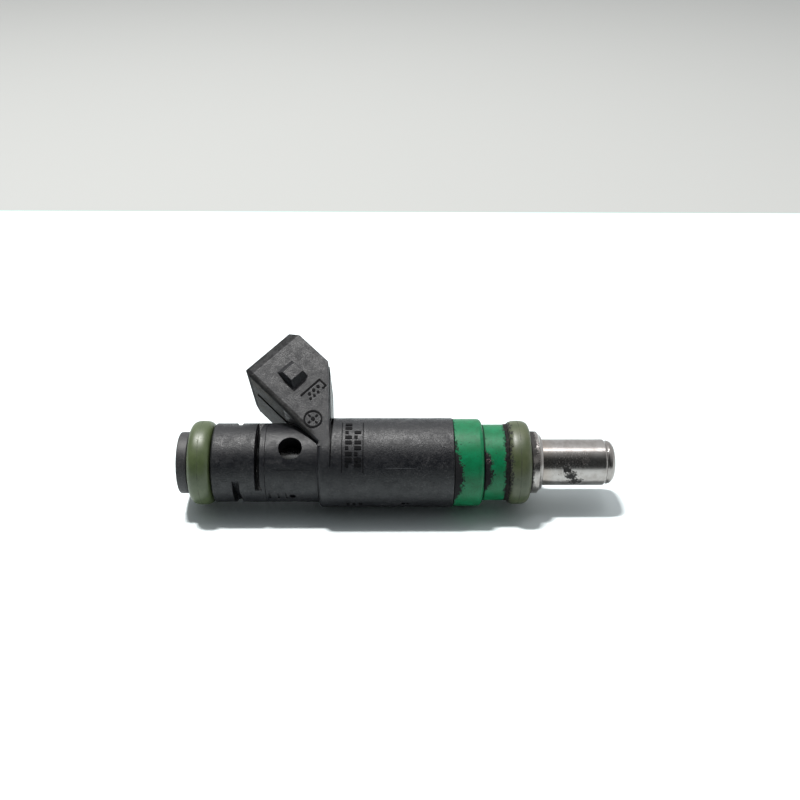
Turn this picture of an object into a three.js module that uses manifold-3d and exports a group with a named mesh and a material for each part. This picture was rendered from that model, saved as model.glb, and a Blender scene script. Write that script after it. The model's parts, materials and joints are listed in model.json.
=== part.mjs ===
// Top-feed port fuel injector, lying on its barrel with the connector leaning back.
// Millimetres, +Z up. Every piece is drawn along +X from the inlet end at 0 to the nozzle tip at
// LENGTH; +Z of that drawing is the side the connector stands on, and +Y and -Y are its two sides.
// The whole is then rolled about its own axis and set down on the barrel.
import * as THREE from "three";
import { mergeVertices } from "three/addons/utils/BufferGeometryUtils.js";
import Module from "manifold-3d";

const wasm = await Module();
wasm.setup();

// Driving dimensions.
const LENGTH = 75.35;
const ROLL = THREE.MathUtils.degToRad(-56.25); // the connector leans this far back from upright
const GAP = 0.1; // clearance between pieces that fit inside or against each other
const LIFT_GAP = 0.1; // air gap that the armature closes when the valve opens

const BARREL_R = 7.75;
const SLEEVE_R = 6.85;
const NECK_R = 3.7; // plastic neck under the upper O-ring
const SEAL_R = 7.3; // outside of both O-rings
const NECK_START = 2.0;
const SLEEVE_START = 6.1;
const SHOULDER = 24.1; // step from inlet sleeve to barrel
const PLATE_END = 26.2; // right edge of the connector's side plates
const COIL_START = 27.2; // the barrel's coil cavity
const BARREL_END = 47.15;
const STEP_END = 52.2; // end of the green sleeve's larger diameter
const STEP_R = 7.6;
const GREEN_R = 6.62;
const GREEN_END = 56.1;

const INLET_R = 3.1;
const POLE_R = 3.6;
const CORE_BORE_R = 1.9;
const POLE_FACE = 40.2;
const CAN_R = 7.0;
const CAN_INNER_R = 6.5;
const SHELL_R = 4.15;
const NOZZLE_R = 4.05;
const BODY_R = 4.6; // valve body inside the green sleeve
const BODY_START = 44.4;
const TIP_CAVITY = 70.7;
const TIP_CAVITY_R = 3.2;
const NEEDLE_R = 1.5;
const BALL_R = 1.9;
const BALL_X = 71.7;

const SLOT_WIDTH = 1.2; // clip slots above and below
const SLOT_X = 10.25;
const SLOT_FLOOR = 5.17; // flat floor's distance from the axis
const SIDE_SLOT_X = 13.9; // deep clip slots on the two sides
const SIDE_SLOT_WIDTH = 0.8;
const SIDE_SLOT_EDGE = 2.89;
const SIDE_SLOT_FLOOR_R = 3.35;
const CORE_HOLE_X = 19.46;
const CORE_HOLE_R = 2.0;

// The connector hood stands at 45 degrees towards the inlet.
const HOOD_LEAN = Math.PI / 4;
const HOOD_MOUTH = new THREE.Vector3(14.99, 0, 18.25); // centre of the mouth
const HOOD_HEIGHT = 11.67;
const HOOD_HALF_WIDTH = 7.75;
const HOOD_EDGE = 0.3; // chamfer along the side plates' edges
const MOUTH_BEVEL = 1.7; // length of the bevel round the mouth
const UPPER_BEVEL = 1.0; // how far it draws in the upper wall, and the lower one
const LOWER_BEVEL = 0.4;
const UPPER_WALL = 9.1; // lengths of the hood's upper and lower walls, from the mouth
const LOWER_WALL = 18.8;
const WALL = 1.5;
const RIB = 0.2; // height of the raised bands on the hood
const PLATE_FOOT = -1.1; // lower end of the side plates, just past the barrel's widest line
const SOCKET_DEPTH = 10.3;
const SOCKET_BACK = 24.7;
const LUG_DEPTH = 6.6; // centre of the latch lugs, below the mouth
const PIN_PITCH = 5.0;
const PIN_WIDTH = 2.8;
const PIN_THICK = 0.8;
const PIN_TOP = 4.8; // below the mouth
const LEAD_WIDTH = 1.2;
const LEAD_TURN = 12.7; // below the mouth, where the lead leaves the hood's direction
const LEAD_Z = 5.2;
const LEAD_END = 28.9;

const SIDES = 32;
const INNER_SIDES = 24;
const SMALL_SIDES = 16;

// Turns an outline of [x, radius] points about the axis. It starts and ends on the axis, or closes
// on itself. The flats lie at the stated radius.
function turned(outline, sides = INNER_SIDES) {
  const flat = 1 / Math.cos(Math.PI / sides);
  const onAxis = outline[0][1] === 0;
  const points = outline.map(([x, r]) => new THREE.Vector2(r * flat, x));
  if (!onAxis) points.push(points[0]);
  const lathe = new THREE.LatheGeometry(points, sides, Math.PI / sides, 2 * Math.PI);
  return lathe.rotateZ(-Math.PI / 2);
}

const ring = (x0, x1, inner, outer, sides) =>
  turned([[x0, outer], [x1, outer], [x1, inner], [x0, inner]], sides);

const rod = (x0, x1, radius, sides) =>
  turned([[x0, 0], [x0, radius], [x1, radius], [x1, 0]], sides);

function solid(geometry) {
  const g = geometry.index ? geometry.toNonIndexed() : geometry.clone();
  g.deleteAttribute("normal");
  g.deleteAttribute("uv");
  const merged = mergeVertices(g, 1e-4);
  return new wasm.Manifold(
    new wasm.Mesh({
      numProp: 3,
      vertProperties: new Float32Array(merged.attributes.position.array),
      triVerts: new Uint32Array(merged.index.array),
    }),
  );
}

function geometryOf(body) {
  const { numProp, vertProperties, triVerts } = body.getMesh();
  const position = new Float32Array((vertProperties.length / numProp) * 3);
  for (let i = 0; i < position.length / 3; i++) {
    for (let k = 0; k < 3; k++) position[3 * i + k] = vertProperties[numProp * i + k];
  }
  const g = new THREE.BufferGeometry();
  g.setAttribute("position", new THREE.BufferAttribute(position, 3));
  g.setIndex(new THREE.BufferAttribute(new Uint32Array(triVerts), 1));
  const faceted = g.toNonIndexed();
  faceted.computeVertexNormals();
  return faceted;
}

const joined = (first, ...others) => others.reduce((sum, part) => sum.add(part), first);
const cut = (first, ...others) => others.reduce((rest, part) => rest.subtract(part), first);

const block = (x0, x1, y0, y1, z0, z1) =>
  solid(
    new THREE.BoxGeometry(x1 - x0, y1 - y0, z1 - z0).translate(
      (x0 + x1) / 2,
      (y0 + y1) / 2,
      (z0 + z1) / 2,
    ),
  );

// A plate with its outline in the XZ plane and its thickness along Y, centred on y.
function plate(outline, thickness, y = 0, edge = 0) {
  const shape = new THREE.Shape(outline.map(([x, z]) => new THREE.Vector2(x, z)));
  const g = new THREE.ExtrudeGeometry(shape, {
    depth: thickness - 2 * edge,
    bevelEnabled: edge > 0,
    bevelSize: edge,
    bevelThickness: edge,
    bevelOffset: -edge,
    bevelSegments: 1,
  });
  g.translate(0, 0, edge - thickness / 2).rotateX(Math.PI / 2);
  return g.translate(0, y, 0);
}

// Directions in the hood: out of the mouth, and across it from the lower wall to the upper one.
const OUT = new THREE.Vector3(-Math.sin(HOOD_LEAN), 0, Math.cos(HOOD_LEAN));
const ACROSS = new THREE.Vector3(Math.cos(HOOD_LEAN), 0, Math.sin(HOOD_LEAN));

// The [x, z] point that lies this deep below the mouth and this far across from its centre.
function hoodPoint(depth, across) {
  const p = HOOD_MOUTH.clone().addScaledVector(OUT, -depth).addScaledVector(ACROSS, across);
  return [p.x, p.z];
}

// Turns a shape drawn in the mouth's own frame (X sideways, Y across, Z out) into place.
const hoodFrame = new THREE.Matrix4()
  .makeBasis(new THREE.Vector3(0, -1, 0), ACROSS, OUT)
  .setPosition(HOOD_MOUTH);

function roundedRectangle(width, height, radius) {
  const [w, h] = [width / 2 - radius, height / 2 - radius];
  const shape = new THREE.Shape();
  shape.absarc(w, h, radius, 0, Math.PI / 2);
  shape.absarc(-w, h, radius, Math.PI / 2, Math.PI);
  shape.absarc(-w, -h, radius, Math.PI, 1.5 * Math.PI);
  shape.absarc(w, -h, radius, 1.5 * Math.PI, 2 * Math.PI);
  return shape;
}

function hoodOuter() {
  const half = HOOD_HEIGHT / 2;
  const outline = [
    hoodPoint(MOUTH_BEVEL, -half),
    hoodPoint(LOWER_WALL, -half),
    [SHOULDER, PLATE_FOOT],
    [PLATE_END, PLATE_FOOT],
    hoodPoint(UPPER_WALL, half),
    hoodPoint(MOUTH_BEVEL, half),
    hoodPoint(0, half - UPPER_BEVEL),
    hoodPoint(0, LOWER_BEVEL - half),
  ];
  return solid(plate(outline, 2 * HOOD_HALF_WIDTH, 0, HOOD_EDGE));
}

// Raised bands along the middle of the hood's lower wall and of its upright back wall.
function hoodRibs() {
  const half = HOOD_HEIGHT / 2;
  const lower = [
    hoodPoint(MOUTH_BEVEL + 0.8, -half + 0.5),
    hoodPoint(MOUTH_BEVEL + 1.1, -half - RIB),
    hoodPoint(LOWER_WALL, -half - RIB),
    hoodPoint(LOWER_WALL, -half + 0.5),
  ];
  const [topX, topZ] = hoodPoint(UPPER_WALL, half);
  const backEdge = (z) => PLATE_END + ((z - PLATE_FOOT) * (topX - PLATE_END)) / (topZ - PLATE_FOOT);
  const [low, high] = [6, topZ - 0.2];
  const back = [
    [backEdge(low) - 1, low],
    [backEdge(low) + RIB, low],
    [backEdge(high) + RIB, high - RIB],
    [backEdge(high) - 1, high],
  ];
  return [solid(plate(lower, 4.4)), solid(plate(back, 12.6))];
}

// A tapered lug on each side plate, which the plug's spring latch hooks behind.
function latchLug(side) {
  const [height, foot] = [1.5, 0.4];
  const lug = new THREE.BoxGeometry(3.4, 4.3, height + foot);
  lug.translate(0, 0, (height - foot) / 2);
  const corners = lug.attributes.position;
  for (let i = 0; i < corners.count; i++) {
    if (corners.getZ(i) > 0) corners.setXY(i, corners.getX(i) * 0.78, corners.getY(i) * 0.5);
  }
  const [x, z] = hoodPoint(LUG_DEPTH, -0.3);
  const place = new THREE.Matrix4()
    .makeBasis(ACROSS, OUT.clone().multiplyScalar(-side), new THREE.Vector3(0, side, 0))
    .setPosition(x, side * HOOD_HALF_WIDTH, z);
  return solid(lug.applyMatrix4(place));
}

function socket() {
  const [width, height] = [2 * (HOOD_HALF_WIDTH - WALL), HOOD_HEIGHT - 2 * WALL];
  const g = new THREE.ExtrudeGeometry(roundedRectangle(width, height, 1.2), {
    depth: SOCKET_DEPTH + 2,
    bevelEnabled: false,
    curveSegments: 2,
  });
  g.translate(0, 0, -SOCKET_DEPTH).applyMatrix4(hoodFrame);
  return solid(g).intersect(block(0, SOCKET_BACK, -10, 10, 0, 30));
}

// A blade in the socket, with a narrower lead that turns down and along to the coil.
function terminal(side, grow = 0) {
  const t = PIN_THICK / 2 + grow;
  const y = (side * PIN_PITCH) / 2;
  const blade = [
    hoodPoint(PIN_TOP - grow, -t),
    hoodPoint(LEAD_TURN - 1, -t),
    hoodPoint(LEAD_TURN - 1, t),
    hoodPoint(PIN_TOP - grow, t),
  ];
  const [turnX, turnZ] = hoodPoint(LEAD_TURN, 0);
  const lead = [
    hoodPoint(LEAD_TURN - 2, -t),
    [turnX - t, turnZ - t],
    [turnX - t, LEAD_Z - t],
    [LEAD_END + grow, LEAD_Z - t],
    [LEAD_END + grow, LEAD_Z + t],
    [turnX + t, LEAD_Z + t],
    [turnX + t, turnZ + t],
    hoodPoint(LEAD_TURN - 2, t),
  ];
  const leadY = side * (PIN_PITCH / 2 - 0.3);
  return joined(
    solid(plate(blade, PIN_WIDTH + 2 * grow, y)),
    solid(plate(lead, LEAD_WIDTH + 2 * grow, leadY)),
  );
}

function overmould() {
  const outer = turned(
    [
      [NECK_START, 0],
      [NECK_START, NECK_R],
      [SLEEVE_START, NECK_R],
      [SLEEVE_START, SLEEVE_R - 0.5],
      [SLEEVE_START + 0.5, SLEEVE_R],
      [SHOULDER, SLEEVE_R],
      [SHOULDER, BARREL_R - 0.5],
      [SHOULDER + 0.5, BARREL_R],
      [BARREL_END, BARREL_R],
      [BARREL_END, 0],
    ],
    SIDES,
  );
  const bore = turned(
    [
      [NECK_START - 1, 0],
      [NECK_START - 1, INLET_R + GAP],
      [COIL_START - 0.8, INLET_R + GAP],
      [COIL_START - 0.8, POLE_R + GAP],
      [COIL_START, POLE_R + GAP],
      [COIL_START, CAN_R + GAP],
      [BARREL_END + 1, CAN_R + GAP],
      [BARREL_END + 1, 0],
    ],
    SIDES,
  );
  const [s0, s1] = [SLOT_X - SLOT_WIDTH / 2, SLOT_X + SLOT_WIDTH / 2];
  const clipSlots = [
    block(s0, s1, -8, 8, SLOT_FLOOR, 8),
    block(s0, s1, -8, 8, -8, -SLOT_FLOOR),
  ];
  const [d0, d1] = [SIDE_SLOT_X - SIDE_SLOT_WIDTH / 2, SIDE_SLOT_X + SIDE_SLOT_WIDTH / 2];
  const core = solid(rod(d0 - 1, d1 + 1, SIDE_SLOT_FLOOR_R, SIDES));
  const sideSlots = [
    cut(block(d0, d1, SIDE_SLOT_EDGE, 8, -8, 8), core),
    cut(block(d0, d1, -8, -SIDE_SLOT_EDGE, -8, 8), core),
  ];
  const hole = solid(
    new THREE.CylinderGeometry(CORE_HOLE_R, CORE_HOLE_R, 20, SMALL_SIDES).translate(
      CORE_HOLE_X,
      0,
      0,
    ),
  );
  const body = joined(solid(outer), hoodOuter(), ...hoodRibs(), latchLug(1), latchLug(-1));
  return cut(
    body,
    solid(bore),
    socket(),
    terminal(1, GAP),
    terminal(-1, GAP),
    ...clipSlots,
    ...sideSlots,
    hole,
  );
}

function lowerSleeve() {
  const x0 = BARREL_END + GAP;
  return turned([
    [x0, BODY_R + GAP],
    [x0, STEP_R],
    [STEP_END - 0.7, STEP_R],
    [STEP_END, STEP_R - 0.4],
    [STEP_END, GREEN_R],
    [GREEN_END - 0.2, GREEN_R],
    [GREEN_END, GREEN_R - 0.2],
    [GREEN_END, BODY_R + GAP],
  ]);
}

// An O-ring, squeezed in its groove: its section is a flattened oval.
function sealRing(x, inner, halfWidth) {
  const [middle, halfHeight] = [(SEAL_R + inner) / 2, (SEAL_R - inner) / 2];
  const squeezed = (v) => Math.sign(v) * Math.abs(v) ** 0.7;
  const count = 12;
  const outline = [];
  for (let i = 0; i < count; i++) {
    const a = ((i + 0.5) * 2 * Math.PI) / count;
    const [along, out] = [squeezed(Math.cos(a)), squeezed(Math.sin(a))];
    outline.push([x - halfWidth * along, middle + halfHeight * out]);
  }
  return turned(outline);
}

const retainerCap = () =>
  turned([
    [0, 5.15],
    [0.2, 5.35],
    [1.6, 5.35],
    [1.8, 5.15],
    [1.8, INLET_R + GAP],
    [0.4, INLET_R + GAP],
    [0.4, 2.6],
    [0, 2.6],
  ]);

const oRingCollar = () =>
  turned([
    [60.5, 5.05],
    [60.7, 5.4],
    [61.9, 5.4],
    [62.6, 4.8],
    [62.6, NOZZLE_R + GAP],
    [60.5, NOZZLE_R + GAP],
  ]);

const inletTube = () =>
  turned([
    [0.5, INLET_R],
    [COIL_START - 0.7, INLET_R],
    [COIL_START - 0.7, POLE_R],
    [POLE_FACE, POLE_R],
    [POLE_FACE, CORE_BORE_R],
    [12.5, CORE_BORE_R],
    [12.5, 2.5],
    [0.5, 2.5],
  ]);

// Basket frame: a mouth ring, ribs and a closed foot.
function filterFrame() {
  const mouth = solid(ring(0.6, 1.8, 1.9, 2.4));
  const foot = solid(rod(9.8, 10.6, 2.4, INNER_SIDES));
  const ribs = [0, 1, 2, 3].map((i) => {
    const rib = new THREE.BoxGeometry(8.6, 0.5, 0.3).translate(5.8, 0, 2.2);
    return solid(rib.rotateX((i * Math.PI) / 2));
  });
  return geometryOf(joined(mouth, foot, ...ribs));
}

// One turn of wire after another, flattened to closed coils at both ends.
class SpringLine extends THREE.Curve {
  constructor(x0, x1, radius, turns, wire) {
    super();
    Object.assign(this, { x0, x1, radius, turns, wire });
  }
  getPoint(t, target = new THREE.Vector3()) {
    const a = 2 * Math.PI * this.turns * t;
    const ease = THREE.MathUtils.smoothstep(t, 0.1, 0.9);
    const x = THREE.MathUtils.lerp(this.x0 + this.wire * t, this.x1 - this.wire * (1 - t), ease);
    return target.set(x, this.radius * Math.cos(a), this.radius * Math.sin(a));
  }
}

function returnSpring() {
  const wire = 0.4;
  const line = new SpringLine(37.1, 43.0, 1.4, 6, wire);
  const section = new THREE.Shape();
  section.absarc(0, 0, wire / 2, 0, 2 * Math.PI);
  return new THREE.ExtrudeGeometry(section, {
    steps: 84,
    curveSegments: 3,
    bevelEnabled: false,
    extrudePath: line,
  });
}

const fluxWasher = () =>
  geometryOf(
    cut(
      solid(ring(COIL_START + 0.3, 28.8, POLE_R + GAP, CAN_INNER_R - GAP, SIDES)),
      block(COIL_START, 29, -3.2, 3.2, LEAD_Z - 0.8, 8),
    ),
  );

const bobbin = () =>
  turned([
    [29.0, SHELL_R + GAP],
    [29.0, CAN_INNER_R - 2 * GAP],
    [29.9, CAN_INNER_R - 2 * GAP],
    [29.9, 4.75],
    [43.3, 4.75],
    [43.3, CAN_INNER_R - 2 * GAP],
    [44.2, CAN_INNER_R - 2 * GAP],
    [44.2, SHELL_R + GAP],
  ]);

const armature = () =>
  turned([
    [POLE_FACE + LIFT_GAP, CORE_BORE_R],
    [POLE_FACE + LIFT_GAP, POLE_R - 0.05],
    [46.7, POLE_R - 0.05],
    [46.7, 2.3],
    [48.0, 2.3],
    [48.0, NEEDLE_R + GAP],
    [44.5, NEEDLE_R + GAP],
    [44.5, 1.0],
    [43.4, 1.0],
    [43.4, CORE_BORE_R],
  ]);

// The needle is hollow, coned at its end to seat the ball, with a cross port for the fuel.
function needleTube() {
  const outline = [[44.6, NEEDLE_R], [70.4, NEEDLE_R], [69.9, 0.9], [44.6, 0.9]];
  const tube = solid(turned(outline, SMALL_SIDES));
  const port = new THREE.CylinderGeometry(0.45, 0.45, 4, 8).rotateX(Math.PI / 2);
  return geometryOf(cut(tube, solid(port.translate(68.4, 0, 0))));
}

const valveBody = () =>
  turned([
    [BODY_START, 3.75],
    [BODY_START, CAN_INNER_R - GAP],
    [46.9, CAN_INNER_R - GAP],
    [46.9, BODY_R],
    [56.0, BODY_R],
    [56.0, NOZZLE_R],
    [73.6, NOZZLE_R],
    [74.0, 3.75],
    [74.6, 3.7],
    [75.1, 3.35],
    [LENGTH, 2.9],
    [LENGTH, 2.3],
    [74.95, 2.3],
    [74.95, TIP_CAVITY_R],
    [TIP_CAVITY, TIP_CAVITY_R],
    [TIP_CAVITY, 2.7],
    [48.2, 2.7],
    [48.2, 3.75],
  ]);

function ballGuide() {
  const disc = solid(ring(71.2, 72.1, BALL_R + GAP, TIP_CAVITY_R - GAP));
  const notches = [0, 1, 2, 3, 4].map((i) => {
    const notch = new THREE.CylinderGeometry(0.4, 0.4, 2, 8).rotateZ(Math.PI / 2);
    return solid(notch.translate(71.6, 0, 2.2).rotateX((i * 2 * Math.PI) / 5));
  });
  return geometryOf(cut(disc, ...notches));
}

// The seat's cone touches the ball at 45 degrees.
function valveSeat() {
  const contact = BALL_R * Math.SQRT2 + BALL_X + 0.05; // where the cone would meet the axis
  return turned([
    [72.2, contact - 72.2],
    [72.2, TIP_CAVITY_R - GAP],
    [74.1, TIP_CAVITY_R - GAP],
    [74.1, 0.45],
    [contact - 0.45, 0.45],
  ]);
}

function orificePlate() {
  const disc = solid(rod(74.15, 74.35, TIP_CAVITY_R - GAP, INNER_SIDES));
  const holes = [0, 1, 2, 3].map((i) => {
    const hole = new THREE.CylinderGeometry(0.13, 0.13, 1, 6).rotateZ(Math.PI / 2);
    return solid(hole.translate(74.25, 0, 0.28).rotateX(((i + 0.5) * Math.PI) / 2));
  });
  return geometryOf(cut(disc, ...holes));
}

function piece(name, geometry, color, roughness, metalness) {
  const material = new THREE.MeshStandardMaterial({ color, roughness, metalness });
  const mesh = new THREE.Mesh(geometry, material);
  mesh.name = name;
  return mesh;
}

const BLACK = 0x34353a;
const GREEN = 0x0c7a4e;
const STEEL = 0xb9b6b0;
const IRON = 0x8b8984;
const COPPER = 0xa5562a;
const TIN = 0xc9c4b4;

const ball = new THREE.SphereGeometry(BALL_R, SMALL_SIDES, 10).translate(BALL_X, 0, 0);

const pieces = [
  piece("connector_overmould", geometryOf(overmould()), BLACK, 0.55, 0),
  piece("lower_sleeve", lowerSleeve(), GREEN, 0.45, 0),
  piece("inlet_retainer_cap", retainerCap(), BLACK, 0.6, 0),
  piece("upper_o_ring", sealRing(3.98, NECK_R + GAP, 1.98), 0x55603a, 0.4, 0),
  piece("lower_o_ring", sealRing(58.45, NOZZLE_R + GAP, 1.98), 0x5a5b42, 0.4, 0),
  piece("o_ring_collar", oRingCollar(), STEEL, 0.3, 1),
  piece("valve_body", valveBody(), STEEL, 0.3, 1),
  piece("inlet_tube", inletTube(), IRON, 0.4, 1),
  piece("filter_frame", filterFrame(), 0xd8d2bd, 0.6, 0),
  piece("filter_mesh", ring(1.9, 9.7, 1.75, 1.9, INNER_SIDES), 0xc9c9c4, 0.5, 0.5),
  piece("adjusting_sleeve", ring(24, 36.8, 1.0, CORE_BORE_R - GAP, SMALL_SIDES), IRON, 0.4, 1),
  piece("return_spring", returnSpring(), 0xa9a9a5, 0.3, 1),
  piece("flux_washer", fluxWasher(), IRON, 0.5, 1),
  piece("coil_housing", ring(COIL_START + 0.1, 47.0, CAN_INNER_R, CAN_R, SIDES), IRON, 0.5, 1),
  piece("coil_bobbin", bobbin(), 0xcfc7ae, 0.6, 0),
  piece("coil_winding", ring(30.0, 43.2, 4.85, 6.1), COPPER, 0.45, 0.6),
  piece("terminal_pin_1", geometryOf(terminal(1)), TIN, 0.35, 1),
  piece("terminal_pin_2", geometryOf(terminal(-1)), TIN, 0.35, 1),
  piece("non_magnetic_shell", ring(36.5, 44.3, POLE_R + GAP, SHELL_R), STEEL, 0.35, 1),
  piece("armature", armature(), IRON, 0.4, 1),
  piece("needle_tube", needleTube(), STEEL, 0.3, 1),
  piece("valve_ball", ball, 0xd2d2d2, 0.1, 1),
  piece("upper_needle_guide", ring(48.6, 49.4, NEEDLE_R + 0.08, 2.6), STEEL, 0.3, 1),
  piece("lower_ball_guide", ballGuide(), STEEL, 0.3, 1),
  piece("valve_seat", valveSeat(), STEEL, 0.25, 1),
  piece("orifice_plate", orificePlate(), STEEL, 0.25, 1),
  piece("tip_retainer", ring(74.45, 74.85, 1.9, TIP_CAVITY_R - GAP), STEEL, 0.35, 1),
];

// Rolled about its own axis, then set down with the middle of its footprint at the origin.
const rolled = new THREE.Group();
rolled.add(...pieces);
rolled.rotation.x = ROLL;

const injector = new THREE.Group();
injector.add(rolled);
const extent = new THREE.Box3().setFromObject(injector, true);
rolled.position.set(
  -(extent.min.x + extent.max.x) / 2,
  -(extent.min.y + extent.max.y) / 2,
  -extent.min.z,
);

export default injector;
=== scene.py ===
import json
import math

import bmesh
import bpy
from mathutils import Matrix, Vector, noise


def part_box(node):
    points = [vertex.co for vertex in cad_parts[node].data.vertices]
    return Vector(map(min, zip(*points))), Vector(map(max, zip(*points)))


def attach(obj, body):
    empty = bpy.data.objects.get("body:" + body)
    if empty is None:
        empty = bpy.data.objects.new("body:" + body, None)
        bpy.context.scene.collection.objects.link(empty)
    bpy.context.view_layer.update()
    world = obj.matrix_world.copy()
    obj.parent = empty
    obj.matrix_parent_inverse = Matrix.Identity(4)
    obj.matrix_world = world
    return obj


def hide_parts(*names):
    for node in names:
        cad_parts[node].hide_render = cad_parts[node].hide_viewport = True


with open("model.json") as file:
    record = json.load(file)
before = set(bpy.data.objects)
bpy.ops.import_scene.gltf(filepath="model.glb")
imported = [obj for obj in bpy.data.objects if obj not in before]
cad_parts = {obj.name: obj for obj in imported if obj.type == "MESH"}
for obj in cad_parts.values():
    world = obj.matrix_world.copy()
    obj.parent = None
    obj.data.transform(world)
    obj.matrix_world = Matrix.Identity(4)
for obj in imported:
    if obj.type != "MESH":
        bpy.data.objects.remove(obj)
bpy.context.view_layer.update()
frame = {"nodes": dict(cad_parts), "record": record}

MM = 0.001
SIDES = 176
ON_AXIS = 1e-6
GAP = 0.1

# Where the axis lies, from the frame, and how far the connector leans away from upright.
seal_low, seal_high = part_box("lower_o_ring")
inlet_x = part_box("inlet_retainer_cap")[0].x
AXIS = Vector((inlet_x, (seal_low.y + seal_high.y) / 2, (seal_low.z + seal_high.z) / 2))
LEAN = math.radians(56.25)
PLACE = Matrix.Translation(AXIS) @ Matrix.Rotation(-LEAN, 4, "X") @ Matrix.Scale(MM, 4)


def ends(node):
    """Where a CAD node starts and ends along the axis, in mm from the inlet end."""
    low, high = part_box(node)
    return (low.x - AXIS.x) / MM, (high.x - AXIS.x) / MM


CAP_END = ends("inlet_retainer_cap")[1]
NECK_START, BARREL_END = ends("connector_overmould")
GREEN_START, GREEN_END = ends("lower_sleeve")
COLLAR_START, COLLAR_END = ends("o_ring_collar")
LENGTH = ends("valve_body")[1]
UPPER_SEAL_X = sum(ends("upper_o_ring")) / 2
LOWER_SEAL_X = sum(ends("lower_o_ring")) / 2

# The barrel rests on the floor, so its radius is the height of the axis.
BARREL_R = AXIS.z / MM
SLEEVE_R = 6.85
NECK_R = 3.7
SEAL_R = 7.3
STEP_R = 7.6
GREEN_R = 6.62
TUBE_R = 3.1
NOZZLE_R = 4.05
BODY_R = 4.6
SLEEVE_START = 6.1
SHOULDER = 24.1
PLATE_END = 26.2
COIL_START = 27.2
STEP_END = 52.2

# The connector hood, in its own directions: OUT of the mouth and ACROSS it to the upper wall.
HOOD_MOUTH = Vector((14.99, 0, 18.25))
OUT = Vector((-math.sqrt(0.5), 0, math.sqrt(0.5)))
ACROSS = Vector((math.sqrt(0.5), 0, math.sqrt(0.5)))
SIDE = Vector((0, 1, 0))
HOOD_HALF = 11.67 / 2
HOOD_SIDE = 7.757
MOUTH_BEVEL = 1.7
UPPER_WALL = 9.1
LOWER_WALL = 18.8
PLATE_FOOT = -0.05
WALL = 1.5
SOCKET_DEPTH = 10.3
SOCKET_BACK = 24.7
MARK = 0.12
UP = Vector((0, 0, 1))


def hood(depth, across, side=0.0):
    """The point this deep below the mouth, this far across and this far to the side."""
    return HOOD_MOUTH - OUT * depth + ACROSS * across + SIDE * side


# ---------------------------------------------------------------- meshes


def rounded(corners, steps=4, closed=True):
    """An outline through (x, r, radius) corners, each rounded to its radius."""
    outline = []
    count = len(corners)
    for i, (x, r, radius) in enumerate(corners):
        here = Vector((x, r))
        end = not closed and i in (0, count - 1)
        if radius == 0 or end:
            outline.append((x, r))
            continue
        back = (Vector(corners[i - 1][:2]) - here).normalized()
        ahead = (Vector(corners[(i + 1) % count][:2]) - here).normalized()
        half = back.angle(ahead) / 2
        centre = here + (back + ahead).normalized() * (radius / math.sin(half))
        first = here + back * (radius / math.tan(half)) - centre
        last = here + ahead * (radius / math.tan(half)) - centre
        sweep = first.angle(last)
        for k in range(steps + 1):
            t = k / steps
            arm = first * math.sin((1 - t) * sweep) + last * math.sin(t * sweep)
            outline.append(tuple(centre + arm / math.sin(sweep)))
    return outline


def lathe(outline, sides=SIDES):
    """Turns an outline of (x, r) about the axis. It closes on itself, or starts and ends on the axis."""
    bm = bmesh.new()
    rings = []
    for x, r in outline:
        if abs(r) < ON_AXIS:
            rings.append([bm.verts.new((x, 0, 0))] * sides)
            continue
        turns = [2 * math.pi * k / sides for k in range(sides)]
        rings.append([bm.verts.new((x, r * math.cos(a), r * math.sin(a))) for a in turns])
    pairs = list(zip(rings, rings[1:]))
    if abs(outline[0][1]) > ON_AXIS:
        pairs.append((rings[-1], rings[0]))
    for one, two in pairs:
        for k in range(sides):
            n = (k + 1) % sides
            corners = []
            for v in (one[k], one[n], two[n], two[k]):
                if v not in corners:
                    corners.append(v)
            if len(corners) > 2:
                bm.faces.new(corners)
    bmesh.ops.recalc_face_normals(bm, faces=bm.faces)
    return bm


def skinned(rows, closed=False):
    """A solid through rows of corners, capped at both ends unless it closes on itself."""
    bm = bmesh.new()
    rows = [[bm.verts.new(point) for point in row] for row in rows]
    pairs = list(zip(rows, rows[1:]))
    if closed:
        pairs.append((rows[-1], rows[0]))
    else:
        bm.faces.new(rows[0])
        bm.faces.new(rows[-1])
    for one, two in pairs:
        for k in range(len(one)):
            n = (k + 1) % len(one)
            bm.faces.new((one[k], one[n], two[n], two[k]))
    bmesh.ops.recalc_face_normals(bm, faces=bm.faces)
    return bm


def prism(outline, y0, y1):
    """A solid with its (x, z) outline between two side positions."""
    return skinned([[(x, y, z) for x, z in outline] for y in (y0, y1)])


def block(x0, x1, y0, y1, z0, z1):
    """A box between two places along each direction."""
    return prism([(x0, z0), (x1, z0), (x1, z1), (x0, z1)], y0, y1)


def sliced(bm, planes):
    """Cuts off what is in front of each (point, normal) plane, and closes the solid again."""
    for point, normal in planes:
        everything = bm.verts[:] + bm.edges[:] + bm.faces[:]
        cut = bmesh.ops.bisect_plane(
            bm, geom=everything, dist=1e-5, plane_co=point, plane_no=normal, clear_outer=True
        )
        rim = [e for e in cut["geom_cut"] if isinstance(e, bmesh.types.BMEdge)]
        if rim:
            bmesh.ops.contextual_create(bm, geom=rim)
    bmesh.ops.recalc_face_normals(bm, faces=bm.faces)
    return bm


def convex(planes):
    """What all of the (point, normal) planes leave of a cube larger than the part."""
    cube = 120
    bm = bmesh.new()
    bmesh.ops.create_cube(bm, size=cube)
    return sliced(bm, planes)


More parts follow.
